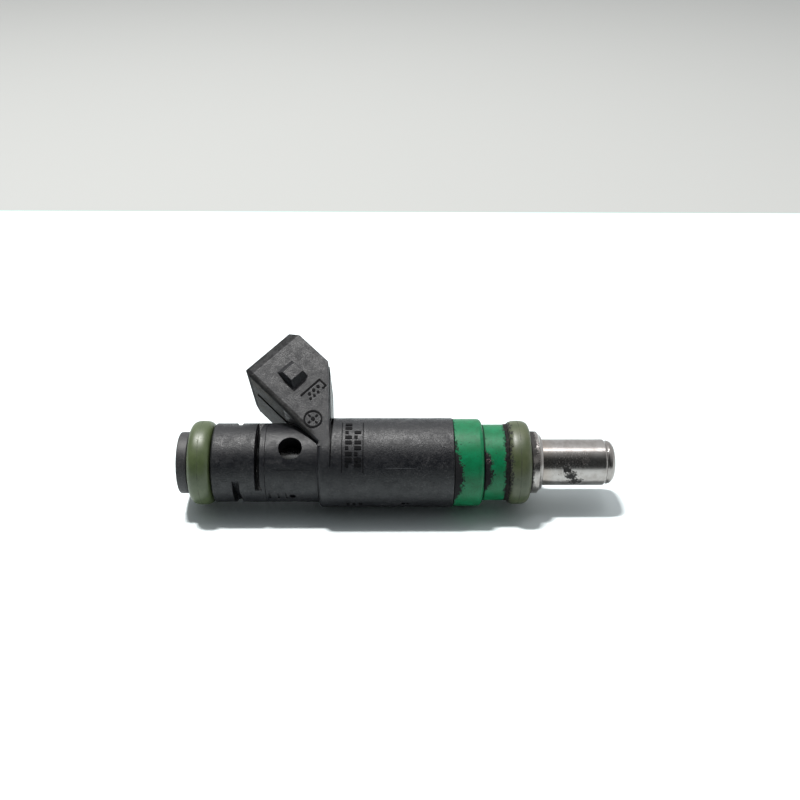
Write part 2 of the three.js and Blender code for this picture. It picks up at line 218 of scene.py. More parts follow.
def cylinder(start, end, radius, sides, end_radius=None):
    """A round rod or cone between two points."""
    bm = bmesh.new()
    run = end - start
    turn = run.to_track_quat("Z", "Y").to_matrix().to_4x4()
    bmesh.ops.create_cone(
        bm,
        cap_ends=True,
        segments=sides,
        radius1=radius,
        radius2=radius if end_radius is None else end_radius,
        depth=run.length,
        matrix=Matrix.Translation((start + end) / 2) @ turn,
    )
    return bm


def towards(turn, x=0.0, r=1.0):
    """The point at station x and this radius, turned in degrees from the viewer's side over the top."""
    a = math.radians(turn)
    way = Matrix.Rotation(LEAN, 3, "X") @ Vector((0, -math.cos(a), math.sin(a)))
    return Vector((x, way.y * r, way.z * r))


def patch(x0, x1, turn0, turn1, low, high, steps=6):
    """A curved bar between two stations, two turns and two radii."""
    rows = []
    for k in range(steps + 1):
        turn = turn0 + (turn1 - turn0) * k / steps
        spots = [(x0, low), (x1, low), (x1, high), (x0, high)]
        rows.append([towards(turn, x, r) for x, r in spots])
    return skinned(rows)


def merged(*parts):
    """Several meshes as one."""
    whole = bmesh.new()
    for part in parts:
        data = bpy.data.meshes.new("part")
        part.to_mesh(data)
        part.free()
        whole.from_mesh(data)
        bpy.data.meshes.remove(data)
    return whole


def solid(bm, name="solid"):
    """A scene object that holds the mesh as it was drawn."""
    data = bpy.data.meshes.new(name)
    bm.to_mesh(data)
    bm.free()
    obj = bpy.data.objects.new(name, data)
    bpy.context.scene.collection.objects.link(obj)
    return obj


def bevelled(bm, radius_of, largest, segments):
    """Rounds each sharp edge by what radius_of says for its middle point and the edge."""
    sharp = math.radians(8)
    weight = bm.edges.layers.float.new("bevel_weight_edge")
    for e in bm.edges:
        if len(e.link_faces) == 2 and e.calc_face_angle(0) > sharp:
            middle = (e.verts[0].co + e.verts[1].co) / 2
            e[weight] = radius_of(middle, e) / largest
    obj = solid(bm)
    bevel = obj.modifiers.new("bevel", "BEVEL")
    bevel.limit_method = "WEIGHT"
    bevel.width = largest
    bevel.segments = segments
    bevel.miter_outer = "MITER_ARC"
    return obj


def settled(obj):
    """The object with its modifiers applied."""
    graph = bpy.context.evaluated_depsgraph_get()
    data = bpy.data.meshes.new_from_object(obj.evaluated_get(graph))
    obj.modifiers.clear()
    obj.data = data
    return obj


def combine(obj, others, operation):
    """Adds other solids to obj, or cuts them from it."""
    for other in others:
        step = obj.modifiers.new("combine", "BOOLEAN")
        step.solver = "MANIFOLD"
        step.operation = operation
        step.object = other
    settled(obj)
    for other in others:
        bpy.data.objects.remove(other)
    return obj


def hand_over(obj, name, slot, nodes=(), smooth=32):
    """Sets a finished piece down, shades it smooth up to an angle, and ties it to the frame."""
    weld, sliver = 0.0008, 0.0005
    obj.name = name
    obj.data.name = name
    bm = bmesh.new()
    bm.from_mesh(obj.data)
    bmesh.ops.remove_doubles(bm, verts=bm.verts, dist=weld)
    bmesh.ops.dissolve_degenerate(bm, edges=bm.edges, dist=sliver)
    bmesh.ops.transform(bm, matrix=PLACE, verts=bm.verts)
    bm.to_mesh(obj.data)
    bm.free()
    obj.data.materials.clear()
    obj.data.materials.append(finish[slot])
    for face in obj.data.polygons:
        face.use_smooth = True
    obj.data.set_sharp_from_angle(angle=math.radians(smooth))
    weigh = obj.modifiers.new("shading", "WEIGHTED_NORMAL")
    weigh.keep_sharp = True
    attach(obj, "injector")
    if nodes:
        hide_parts(*nodes)
    return obj


# ---------------------------------------------------------------- materials


class Finish:
    """A procedural material. Its calls take numbers, colours or other calls' results."""

    def __init__(self, name):
        self.material = bpy.data.materials.new(name)
        self.material.use_nodes = True
        self.tree = self.material.node_tree
        self.tree.nodes.clear()

    def add(self, kind, values, out=0, **settings):
        node = self.tree.nodes.new("ShaderNode" + kind)
        for key, value in settings.items():
            setattr(node, key, value)
        for key, value in values.items():
            socket = node.inputs[key]
            if isinstance(value, bpy.types.NodeSocket):
                self.tree.links.new(value, socket)
            elif isinstance(value, (tuple, list)) and len(value) == 3 and socket.type == "RGBA":
                socket.default_value = (*value, 1)
            else:
                socket.default_value = value
        return node.outputs[out]

    def math(self, operation, a, b=0.0):
        return self.add("Math", {0: a, 1: b}, operation=operation)

    def plus(self, a, b):
        return self.math("ADD", a, b)

    def minus(self, a, b):
        return self.math("SUBTRACT", a, b)

    def times(self, a, b):
        return self.math("MULTIPLY", a, b)

    def most(self, *values):
        top = values[0]
        for value in values[1:]:
            top = self.math("MAXIMUM", top, value)
        return top

    def ramp(self, value, start, end, low=0.0, high=1.0):
        """Goes smoothly from low at start to high at end."""
        values = {0: value, 1: start, 2: end, 3: low, 4: high}
        return self.add("MapRange", values, interpolation_type="SMOOTHSTEP", clamp=True)

    def within(self, value, low, high, soft):
        """1 between low and high, fading out over soft on both sides."""
        rise = self.ramp(value, low - soft, low + soft)
        return self.times(rise, self.ramp(value, high - soft, high + soft, 1, 0))

    def mix(self, share, a, b):
        return self.add("Mix", {0: share, 6: a, 7: b}, out=2, data_type="RGBA")

    def place(self):
        """The point in millimetres, from the inlet end and the axis, along the row's directions."""
        point = self.add("TexCoord", {}, out=3)
        moved = self.add("VectorMath", {0: point, 1: AXIS}, operation="SUBTRACT")
        return self.add("VectorMath", {0: moved, 3: 1 / MM}, operation="SCALE")

    def along(self, point, way):
        """How far the point lies from the axis along a direction of the part's own."""
        turned_way = Matrix.Rotation(-LEAN, 3, "X") @ way
        return self.add("VectorMath", {0: point, 1: turned_way}, out=1, operation="DOT_PRODUCT")

    def parts(self, vector):
        node = self.tree.nodes.new("ShaderNodeSeparateXYZ")
        self.tree.links.new(vector, node.inputs[0])
        return node.outputs

    def around(self, point):
        """Station along the axis, and the turn in degrees from the viewer's side over the top."""
        x, y, z = self.parts(point)
        turn = self.math("ARCTAN2", z, self.times(y, -1))
        return x, self.math("DEGREES", turn)

    def stretched(self, vector, scale):
        return self.add("VectorMath", {0: vector, 1: scale}, operation="MULTIPLY")

    def noise(self, vector, scale, detail, roughness):
        values = {"Vector": vector, "Scale": scale, "Detail": detail, "Roughness": roughness}
        return self.add("TexNoise", values)

    def ragged(self, point):
        """Between -0.6 and 0.6: a wandering edge with loose specks on both sides of it."""
        wander = self.ramp(self.noise(point, 0.9, 4, 0.7), 0.35, 0.65, -0.25, 0.25)
        return self.plus(wander, self.ramp(self.noise(point, 3.2, 4, 0.75), 0.38, 0.62, -0.35, 0.35))

    def bump(self, height, distance, strength=1.0):
        return self.add("Bump", {"Height": height, "Distance": distance * MM, "Strength": strength})

    def spot(self, station, turn, at, size, radius, wobble=0.0):
        """1 inside an oval mark at (station, turn), of (length, width) in mm on that radius."""
        dx = self.times(self.minus(station, at[0]), 2 / size[0])
        across = self.times(self.minus(turn, at[1]), math.radians(1) * radius * 2 / size[1])
        squares = self.plus(self.times(dx, dx), self.times(across, across))
        far = self.plus(self.math("SQRT", squares), wobble)
        return self.ramp(far, 0.8, 1.1, 1, 0)

    def surface(self, color, roughness, normal=None, **sockets):
        values = {"Base Color": color, "Roughness": roughness}
        if normal is not None:
            values["Normal"] = normal
        values.update({key.replace("_", " "): value for key, value in sockets.items()})
        shader = self.add("BsdfPrincipled", values)
        output = self.tree.nodes.new("ShaderNodeOutputMaterial")
        self.tree.links.new(shader, output.inputs["Surface"])
        return self.material


def black_plastic():
    """Glass-filled nylon: finely rough, mottled, rubbed paler in places, with painted shade under the
    hood and on its mouth slopes.
    """
    m = Finish("black_plastic")
    point = m.place()
    station, turn = m.around(point)
    grain = m.noise(point, 4.6, 5, 0.75)
    glitter = m.noise(point, 4.0, 4, 0.75)
    mottle = m.noise(point, 0.55, 7, 0.72)
    cloud = m.noise(point, 0.22, 4, 0.6)
    dust = m.ramp(m.noise(point, 1.9, 6, 0.78), 0.48, 0.68)
    worn = m.ramp(cloud, 0.42, 0.7)
    color = m.mix(m.times(dust, m.plus(0.1, worn)), (0.0035, 0.0040, 0.0062), (0.042, 0.040, 0.042))
    scratch = m.times(m.within(turn, 27.2, 28.0, 0.25), m.within(station, 35.8, 40.4, 0.5))
    color = m.mix(m.times(scratch, 0.35), color, (0.12, 0.12, 0.13))
    rough = m.plus(m.ramp(glitter, 0.4, 0.62, 0.3, 0.46), m.ramp(mottle, 0.42, 0.6, 0, 0.17))
    # Painted shade: the lower edge of the hood's plates is painted near black, and its lower wall near
    # black mottled with pale brown; both are matt.
    wall = HOOD_MOUTH.dot(ACROSS) - HOOD_HALF
    across = m.along(point, ACROSS)
    clear = m.most(m.along(point, UP), m.math("ABSOLUTE", m.along(point, SIDE)))
    on_hood = m.times(m.ramp(clear, SLEEVE_R, SLEEVE_R + 0.1), m.ramp(station, 22.5, SHOULDER, 1, 0))
    painted_underside_shade = m.times(m.ramp(across, wall + 0.8, wall + 1.0, 1, 0), on_hood)
    brown = m.times(m.ramp(mottle, 0.44, 0.68), m.ramp(across, wall, wall + 0.12, 1, 0))
    # dirt here is mostly the near black of the painted shade, with the pale brown mottle on the lower
    # wall.
    dirt = m.mix(brown, (0.001, 0.001, 0.001), (0.060, 0.050, 0.041))
    color = m.mix(painted_underside_shade, color, dirt)
    # Painted shade: the slopes round its mouth are painted darker, and are matt too.
    lip = HOOD_MOUTH.dot(OUT) - MOUTH_BEVEL
    painted_slope_shade = m.ramp(m.along(point, OUT), lip - 0.05, lip + 0.15)
    color = m.mix(m.times(painted_slope_shade, 0.8), color, (0.003, 0.003, 0.004))
    rough = m.plus(rough, m.times(m.plus(painted_underside_shade, painted_slope_shade), 0.3))
    return m.surface(color, rough, m.bump(grain, 0.08, 0.8), Specular_IOR_Level=0.45)


def shaded_mark_plastic():
    """The moulded marks: the same black, painted darker as shade, and matt."""
    m = Finish("shaded_mark_plastic")
    grain = m.noise(m.place(), 3.0, 4, 0.7)
    color = m.mix(grain, (0.001, 0.001, 0.0015), (0.004, 0.004, 0.005))
    return m.surface(color, m.plus(0.6, m.times(grain, 0.2)), Specular_IOR_Level=0.12)


def green_plastic():
    """The lower sleeve's green, with black residue and dirt that settle at its edges, and painted shade
    in the groove at its step.
    """
    m = Finish("green_plastic")
    point = m.place()
    station, turn = m.around(point)
    ragged = m.ragged(point)
    fine = m.noise(point, 4.0, 4, 0.65)
    # Black residue that runs over from the barrel, furthest where it faces the viewer low down.
    reach = m.times(m.ramp(turn, -30, 6), m.ramp(turn, 20, 66, 1, 0))
    hidden = m.times(m.ramp(turn, 115, 140), m.ramp(turn, 150, 175, 1, 0))
    edge = m.plus(GREEN_START - 0.02, m.plus(m.times(reach, 1.3), m.times(hidden, 0.7)))
    residue = m.ramp(m.minus(station, m.plus(edge, ragged)), -0.05, 0.1, 1, 0)
    # A smear on the smaller diameter beside the step.
    side = m.times(m.ramp(turn, -24, 8), m.ramp(turn, 36, 64, 1, 0))
    smear_end = m.plus(STEP_END - 0.45, m.plus(m.times(side, 1.9), ragged))
    smear = m.ramp(m.minus(station, smear_end), -0.05, 0.1, 1, 0)
    smear = m.times(smear, m.ramp(station, STEP_END - 0.05, STEP_END + 0.05))
    smear = m.times(smear, m.ramp(side, 0.02, 0.15))
    # Painted shade darkens the groove at the step; dirt lies against the seal.
    groove = m.times(m.within(station, STEP_END - 0.02, STEP_END + 0.3, 0.08), 0.75)
    crust = m.ramp(m.plus(station, m.times(ragged, 0.8)), GREEN_END - 0.35, GREEN_END - 0.1)
    specks = m.times(m.ramp(m.noise(point, 2.6, 2, 0.5), 0.7, 0.74), 0.8)
    # grime holds the residue, the smear, the crust and specks, and the painted shade in the groove.
    grime = m.most(residue, smear, groove, crust, specks)
    cloud = m.ramp(m.noise(point, 0.6, 4, 0.6), 0.3, 0.75)
    shade = m.mix(cloud, (0.0002, 0.124, 0.043), (0.0006, 0.170, 0.066))
    shade = m.mix(m.times(m.ramp(fine, 0.48, 0.66), 0.5), shade, (0.001, 0.065, 0.028))
    dirt = m.mix(m.ramp(fine, 0.5, 0.7), (0.002, 0.002, 0.003), (0.014, 0.011, 0.013))
    pink = m.times(m.ramp(m.noise(point, 5.0, 2, 0.5), 0.62, 0.66), m.within(turn, 34, 62, 4))
    dirt = m.mix(m.times(pink, m.ramp(station, STEP_END, STEP_END + 0.4)), dirt, (0.3, 0.2, 0.2))
    color = m.mix(grime, shade, dirt)
    rough = m.plus(m.plus(0.36, m.times(grime, 0.35)), m.times(fine, 0.12))
    height = m.plus(m.times(grime, 1.2), m.times(fine, 0.4))
    return m.surface(color, rough, m.bump(height, 0.05, 0.6), Specular_IOR_Level=0.3)


def cap_plastic():
    """The inlet flange's dark grey, evenly rough."""
    m = Finish("cap_plastic")
    point = m.place()
    grain = m.noise(point, 4.0, 5, 0.7)
    color = m.mix(m.ramp(grain, 0.45, 0.7), (0.020, 0.020, 0.022), (0.055, 0.054, 0.053))
    rough = m.plus(0.45, m.times(grain, 0.2))
    return m.surface(color, rough, m.bump(grain, 0.04, 0.6))


def seal_rubber(name, middle, colors, dirt, dirt_edge):
    """Rubber with the line of its mould round the middle, and dirt up to a ragged edge."""
    m = Finish(name)
    point = m.place()
    station = m.around(point)[0]
    cloud = m.noise(point, 0.45, 4, 0.6)
    along = m.noise(m.stretched(point, (5.0, 0.5, 0.5)), 1.0, 3, 0.6)
    fine = m.noise(point, 5.0, 5, 0.75)
    color = m.mix(m.ramp(cloud, 0.3, 0.7), *colors)
    color = m.mix(m.times(m.ramp(along, 0.55, 0.8), 0.3), color, dirt)
    broken = m.ramp(m.noise(m.stretched(point, (1.0, 0.6, 0.6)), 1.0, 3, 0.6), 0.35, 0.6)
    mould_line = m.times(m.within(station, middle - 0.07, middle + 0.07, 0.05), broken)
    edge = m.ramp(m.plus(station, m.ragged(point)), dirt_edge, dirt_edge + 0.15, 1, 0)
    specks = m.ramp(m.noise(point, 3.0, 3, 0.6), 0.69, 0.73)
    grime = m.most(edge, m.times(specks, 0.7), m.times(mould_line, 0.55))
    color = m.mix(grime, color, dirt)
    rough = m.plus(m.plus(0.36, m.times(fine, 0.14)), m.times(grime, 0.45))
    height = m.plus(m.times(fine, 0.4), m.times(grime, 0.9))
    return m.surface(color, rough, m.bump(height, 0.04, 0.6), Specular_IOR_Level=0.6)


def stainless():
    """Turned and stained: fine rings round the axis, and brown and black fuel stains."""
    m = Finish("stainless")
    point = m.place()
    station, turn = m.around(point)
    rings = m.noise(m.stretched(point, (14.0, 0.25, 0.25)), 1.0, 4, 0.7)
    cloud = m.noise(point, 0.5, 5, 0.65)
    ragged = m.ragged(point)
    fine = m.noise(point, 3.5, 5, 0.7)
    blots = m.most(
        m.spot(station, turn, (66.8, 16), (1.5, 1.6), NOZZLE_R, ragged),
        m.spot(station, turn, (67.5, -2), (1.9, 1.6), NOZZLE_R, ragged),
        m.spot(station, turn, (68.3, -20), (2.2, 1.8), NOZZLE_R, ragged),
        m.spot(station, turn, (70.0, 37), (1.2, 1.1), NOZZLE_R, ragged),
        m.times(m.spot(station, turn, (66.0, 168), (4.0, 2.6), NOZZLE_R, ragged), 0.8),
        m.times(m.spot(station, turn, (70.5, -120), (3.0, 3.2), NOZZLE_R, ragged), 0.8),
    )
    # Loose specks round the blots, and dirt in the corner behind the lower seal.
    near = m.times(m.within(station, 64.6, 69.6, 1.2), m.within(turn, -30, 60, 20))
    speckle = m.times(m.ramp(fine, 0.58, 0.64), m.ramp(cloud, 0.42, 0.55))
    corner = m.ramp(m.plus(station, m.times(ragged, 0.3)), COLLAR_START + 0.2, COLLAR_START + 0.6, 1, 0)
    above = m.times(m.ramp(turn, 22, 50), m.ramp(turn, 110, 140, 1, 0))
    soot = m.ramp(m.plus(station, m.times(ragged, 0.9)), COLLAR_START + 0.9, COLLAR_START + 1.3, 1, 0)
    stain = m.most(blots, m.times(speckle, near), corner, m.times(soot, above))
    tint = m.mix(m.ramp(cloud, 0.35, 0.7), (0.40, 0.38, 0.365), (0.30, 0.275, 0.26))
    brown = m.ramp(m.plus(station, m.times(cloud, 1.5)), COLLAR_END + 0.8, COLLAR_END + 3.2, 0.3, 0)
    brown = m.times(brown, m.ramp(station, COLLAR_END - 0.05, COLLAR_END + 0.05))
    tint = m.mix(brown, tint, (0.30, 0.23, 0.17))
    tint = m.mix(m.times(m.ramp(station, LENGTH - 2.2, LENGTH), 0.6), tint, (0.25, 0.23, 0.215))
    color = m.mix(stain, tint, (0.012, 0.010, 0.009))
    rough = m.plus(m.plus(0.17, m.times(rings, 0.14)), m.times(stain, 0.5))
    bare = m.ramp(stain, 0.2, 0.9, 1.0, 0.0)
    height = m.plus(m.times(rings, 0.25), m.times(stain, 0.2))
    return m.surface(color, rough, m.bump(height, 0.03, 0.45), Metallic=bare)


def metal(name, color, dark, roughness, stretch):
    """A machined metal, with its marks drawn out along the axis, round it, or not at all."""
    m = Finish(name)
    point = m.place()
    marks = m.noise(m.stretched(point, stretch), 1.0, 5, 0.65)
    cloud = m.noise(point, 0.6, 4, 0.6)
    tint = m.mix(m.ramp(cloud, 0.3, 0.75), color, dark)
    rough = m.plus(roughness, m.times(marks, 0.15))
    return m.surface(tint, rough, m.bump(marks, 0.02, 0.4), Metallic=1.0)


def copper_winding():
    """Tight turns of enamelled wire, a fifth of a millimetre apart."""
    m = Finish("copper_winding")
    pitch = 0.2
    point = m.place()
    station, turn = m.around(point)
    turns = m.math("SINE", m.times(m.plus(station, m.times(turn, pitch / 360)), 2 * math.pi / pitch))
    cloud = m.noise(point, 0.8, 4, 0.6)
    color = m.mix(m.ramp(cloud, 0.3, 0.7), (0.48, 0.15, 0.05), (0.62, 0.25, 0.1))
    # Painted shade darkens the grooves between the turns.
    color = m.mix(m.ramp(turns, -1.0, -0.2, 0.7, 0), color, (0.06, 0.02, 0.01))
    return m.surface(color, 0.3, m.bump(turns, 0.05, 0.8), Metallic=0.8, Coat_Weight=0.6)


def natural_nylon():
    """Undyed nylon, cream and a little translucent."""
    m = Finish("natural_nylon")
    point = m.place()
    cloud = m.noise(point, 0.7, 4, 0.6)
    fine = m.noise(point, 4.0, 4, 0.6)
    color = m.mix(m.ramp(cloud, 0.3, 0.7), (0.62, 0.57, 0.43), (0.5, 0.44, 0.3))
    rough = m.plus(0.4, m.times(fine, 0.15))
    return m.surface(color, rough, m.bump(fine, 0.03, 0.4), Subsurface_Weight=0.1, Subsurface_Scale=MM)


def filter_gauze():
    """Woven gauze, eight threads to the millimetre."""
    m = Finish("filter_gauze")
    per_mm, per_turn = 8, 96
    point = m.place()
    station, turn = m.around(point)
    weft = m.math("SINE", m.times(station, 2 * math.pi * per_mm))
    warp = m.math("SINE", m.times(turn, math.radians(per_turn)))
    weave = m.most(weft, warp)
    # The gaps between the threads are painted dark, as shade in the openings.
    color = m.mix(m.ramp(weave, -0.3, 0.6), (0.03, 0.03, 0.03), (0.6, 0.57, 0.48))
    return m.surface(color, 0.55, m.bump(weave, 0.04, 0.8))


def residue_crust():
    """Baked oil and dust beside the lower seal."""
    m = Finish("residue_crust")
    point = m.place()
    lumps = m.noise(point, 2.2, 6, 0.75)
    fine = m.noise(point, 7.0, 4, 0.7)
    color = m.mix(m.ramp(lumps, 0.5, 0.66), (0.004, 0.0035, 0.0035), (0.030, 0.019, 0.014))
    rough = m.plus(0.5, m.times(fine, 0.3))
    return m.surface(color, rough, m.bump(m.plus(lumps, fine), 0.08, 0.9), Specular_IOR_Level=0.2)


# Machining marks are fine along the axis and run round it. Others lie every way.
RINGS = (9.0, 0.6, 0.6)
EVEN = (3.0, 3.0, 3.0)
FINE = (4.0, 4.0, 4.0)
finish = {
    "black_plastic": black_plastic(),
    "green_plastic": green_plastic(),
    "cap_plastic": cap_plastic(),
    "upper_seal_rubber": seal_rubber(
        "upper_seal_rubber",
        UPPER_SEAL_X,
        ((0.046, 0.067, 0.022), (0.070, 0.094, 0.036)),
        (0.018, 0.022, 0.010),
        UPPER_SEAL_X - 2.4,
    ),
    "lower_seal_rubber": seal_rubber(
        "lower_seal_rubber",
        LOWER_SEAL_X,
        ((0.040, 0.056, 0.018), (0.066, 0.078, 0.034)),
        (0.006, 0.005, 0.004),
        LOWER_SEAL_X - 1.6,
    ),
    "stainless": stainless(),
    "ground_stainless": metal("ground_stainless", (0.62, 0.61, 0.6), (0.5, 0.49, 0.47), 0.2, RINGS),
    "magnetic_steel": metal("magnetic_steel", (0.4, 0.39, 0.38), (0.28, 0.27, 0.26), 0.35, RINGS),
    "spring_steel": metal("spring_steel", (0.5, 0.5, 0.5), (0.4, 0.4, 0.4), 0.22, EVEN),
    "copper_winding": copper_winding(),
    "tinned_terminal": metal("tinned_terminal", (0.62, 0.59, 0.53), (0.5, 0.46, 0.38), 0.25, FINE),
    "natural_nylon": natural_nylon(),
    "filter_gauze": filter_gauze(),
}
crust_finish = residue_crust()
shaded_mark_finish = shaded_mark_plastic()

# ---------------------------------------------------------------- overmould


def hood_body():
    """The connector's hood with its two side plates, closed."""
    half, upper_bevel, lower_bevel, side_bevel = HOOD_HALF, 1.0, 0.4, 0.55
    plate_edge, soft = 0.75, 0.18
    outline = [hood(MOUTH_BEVEL, -half), hood(LOWER_WALL, -half), Vector((SHOULDER, 0, PLATE_FOOT))]
    outline += [Vector((PLATE_END, 0, PLATE_FOOT)), hood(UPPER_WALL, half), hood(MOUTH_BEVEL, half)]
    outline += [hood(0, half - upper_bevel), hood(0, lower_bevel - half)]
    shape = prism([(p.x, p.z) for p in outline], -HOOD_SIDE, HOOD_SIDE)
    slopes = [
        (hood(MOUTH_BEVEL, 0, side * HOOD_SIDE), OUT * side_bevel + SIDE * side * MOUTH_BEVEL)
        for side in (1, -1)
    ]

    def radius_of(middle, edge):
        depth = (HOOD_MOUTH - middle).dot(OUT)
        across = (middle - HOOD_MOUTH).dot(ACROSS)
        on_plate = abs(middle.y) > HOOD_SIDE - 0.7
        if on_plate and middle.z < 0.9:
            return 0.0
        if on_plate and across < 0.5 - HOOD_HALF and depth > MOUTH_BEVEL:
            return plate_edge
        return soft

    return bevelled(sliced(shape, slopes), radius_of, plate_edge, 6)


def hood_ribs():
    """Raised bands along the middle of the hood's lower wall and of its upright back wall."""
    rib, soft, start = 0.2, 0.08, MOUTH_BEVEL + 0.8
    low = [hood(start, 0.5 - HOOD_HALF), hood(start + 0.3, -HOOD_HALF - rib)]
    low += [hood(LOWER_WALL, -HOOD_HALF - rib), hood(LOWER_WALL, 0.5 - HOOD_HALF)]
    lower = bevelled(prism([(p.x, p.z) for p in low], -2.2, 2.2), lambda p, e: soft, soft, 2)
    top = hood(UPPER_WALL, HOOD_HALF)
    lean = (top.x - PLATE_END) / (top.z - PLATE_FOOT)
    z0, z1 = 6.0, top.z - 0.2
    x0, x1 = PLATE_END + (z0 - PLATE_FOOT) * lean, PLATE_END + (z1 - PLATE_FOOT) * lean
    outline = [(x0 - 1, z0), (x0 + rib, z0), (x1 + rib, z1 - rib), (x1 - 1, z1)]
    back = bevelled(prism(outline, -6.3, 6.3), lambda p, e: soft, soft, 2)
    return [lower, back]


def latch_lug(side):
    """A lug on a side plate: a long ramp towards the mouth, and a steep face for the latch."""
    height, foot, soft = 1.5, 0.5, 0.1
    base = hood(6.6, -0.3, side * (HOOD_SIDE - 0.03))
    rows = []
    for across, ahead, behind, up in (
        (1.7, 2.15, 2.15, -foot),
        (1.7, 2.15, 2.15, 0),
        (1.36, 0.86, 1.36, height),
    ):
        corners = [(across, ahead), (-across, ahead), (-across, -behind), (across, -behind)]
        rows.append([base + ACROSS * a + OUT * o + SIDE * side * up for a, o in corners])
    top = HOOD_SIDE + 0.1
    return bevelled(skinned(rows), lambda p, e: soft if p.y * side > top else 0.0, soft, 3)


def socket_cut():
    """The space inside the hood, with a lead-in at its mouth."""
    half, side, corner, soft = HOOD_HALF - WALL, HOOD_SIDE - WALL, 1.2, 0.15
    planes = [
        (hood(-2, 0), OUT),
        (hood(SOCKET_DEPTH, 0), -OUT),
        (hood(0, half), ACROSS),
        (hood(0, -half), -ACROSS),
        (Vector((SOCKET_BACK, 0, 0)), Vector((1, 0, 0))),
        (SIDE * side, SIDE),
        (SIDE * -side, -SIDE),
    ]

    def radius_of(middle, edge):
        along = (edge.verts[1].co - edge.verts[0].co).normalized()
        return corner if abs(along.dot(OUT)) > 0.9 else soft

    flare = 0.35
    lead = [(hood(-1, 0), OUT), (hood(flare, 0), -OUT)]
    for way, reach in ((ACROSS, half), (-ACROSS, half), (SIDE, side), (-SIDE, side)):
        lead.append((hood(flare, 0) + way * (reach - 0.01), way - OUT))
    return [bevelled(convex(planes), radius_of, corner, 5), solid(convex(lead))]


def terminal(side, grow=0.0):
    """A blade in the socket with its lead to the coil or, grown, the space that they need."""
    pin_top, bend, lead_z, lead_end = 4.8, 12.7, 5.2, 28.9
    half_thick, half_blade, half_lead = 0.4 + grow, 1.4 + grow, 0.6 + grow
    blade_y, lead_y, soft = side * 2.5, side * 2.2, 0.08
    taper = 0.0 if grow else 0.5
    top = pin_top - grow + taper
    blade = [hood(top, -half_thick), hood(bend - 1, -half_thick)]
    blade += [hood(bend - 1, half_thick), hood(top, half_thick)]
    if taper:
        blade += [hood(pin_top, 0.15), hood(pin_top, -0.15)]
    turn = hood(bend, 0)
    inner, outer = hood(bend - 2, -half_thick), hood(bend - 2, half_thick)
    left, right, end = turn.x - half_thick, turn.x + half_thick, lead_end + grow
    low, high = lead_z - half_thick, lead_z + half_thick
    lead = [(inner.x, inner.z), (left, turn.z - half_thick), (left, low), (end, low), (end, high)]
    lead += [(right, high), (right, turn.z + half_thick), (outer.x, outer.z)]
    wide = prism([(p.x, p.z) for p in blade], blade_y - half_blade, blade_y + half_blade)
    wide = bevelled(wide, lambda p, e: 0.0 if grow else soft, soft, 2)
    narrow = solid(prism(lead, lead_y - half_lead, lead_y + half_lead))
    return combine(wide, [narrow], "UNION")


def overmould_outer():
    """The neck, the inlet sleeve and the barrel as one solid."""
    corners = [
        (NECK_START, 0, 0),
        (NECK_START, NECK_R, 0.15),
        (SLEEVE_START, NECK_R, 0.15),
        (SLEEVE_START, SLEEVE_R, 0.4),
        (SHOULDER, SLEEVE_R, 0.12),
        (SHOULDER, BARREL_R, 0.8),
        (BARREL_END, BARREL_R, 0.12),
        (BARREL_END, 0, 0),
    ]
    return solid(lathe(rounded(corners, 5, closed=False)))


def overmould_bore():
    """The space for the inlet tube, the pole piece and the coil in its can."""
    tube, pole, can = TUBE_R + GAP, 3.7, 7.1
    outline = [
        (NECK_START - 1, 0),
        (NECK_START - 1, tube),
        (COIL_START - 0.8, tube),
        (COIL_START - 0.8, pole),
        (COIL_START, pole),
        (COIL_START, can),
        (BARREL_END + 1, can),
        (BARREL_END + 1, 0),
    ]
    return solid(lathe(outline))


def clip_slots():
    """Slots above and below for the retaining clip, each with a chamfer towards the nozzle."""
    x0, x1, floor, chamfer, far, half = 9.65, 10.85, 5.17, 0.6, 9, 8
    outline = [(x0, floor), (x1, floor), (x1, 6.45), (x1 + chamfer, 6.45 + chamfer)]
    outline += [(x1 + chamfer, far), (x0 - 0.2, far), (x0, 6.7)]
    return [solid(prism([(x, z * up) for x, z in outline], -half, half)) for up in (1, -1)]


def side_slots():
    """Deep slots on the two sides, each flared towards the nozzle at its two ends."""
    x0, x1, chord, floor, far = 13.45, 14.35, 2.89, 3.35, 8.0
    cuts = []
    for side in (1, -1):
        y0, y1 = sorted((side * chord, side * far))
        slot = solid(block(x0, x1, y0, y1, -far, far))
        core = solid(lathe([(x0 - 1, 0), (x0 - 1, floor), (x1 + 1, floor), (x1 + 1, 0)]))
        cuts.append(combine(slot, [core], "DIFFERENCE"))
        for start, end in ((4.2, far), (-5.3, -far)):
            wedge = [(x1 - 0.2, start), (x1, start), (x1 + 0.75, end), (x1 - 0.2, end)]
            flare = solid(prism(wedge, y0, y1))
            inner = solid(lathe([(x0, 0), (x0, SLEEVE_R - 0.5), (x1 + 1, SLEEVE_R - 0.1), (x1 + 1, 0)]))
            cuts.append(combine(flare, [inner], "DIFFERENCE"))
    return cuts


def plate_gaps():
    """A gap beside each plate, that narrows down the barrel's side."""
    low, high, mirror = BARREL_R - 0.9, BARREL_R + 1, 2 * (90 + math.degrees(LEAN))
    cuts = []
    for flip in (False, True):
        rows = []
        for turn, width in ((114, 0.42), (92, 0.42), (72, 0.36), (54, 0.28), (38, 0.16), (27, 0.04)):
            turn = mirror - turn if flip else turn
            spots = ((0, low), (width, low), (width, high), (0, high))
            rows.append([towards(turn, PLATE_END + x, r) for x, r in spots])
        cuts.append(solid(skinned(rows)))
    return cuts


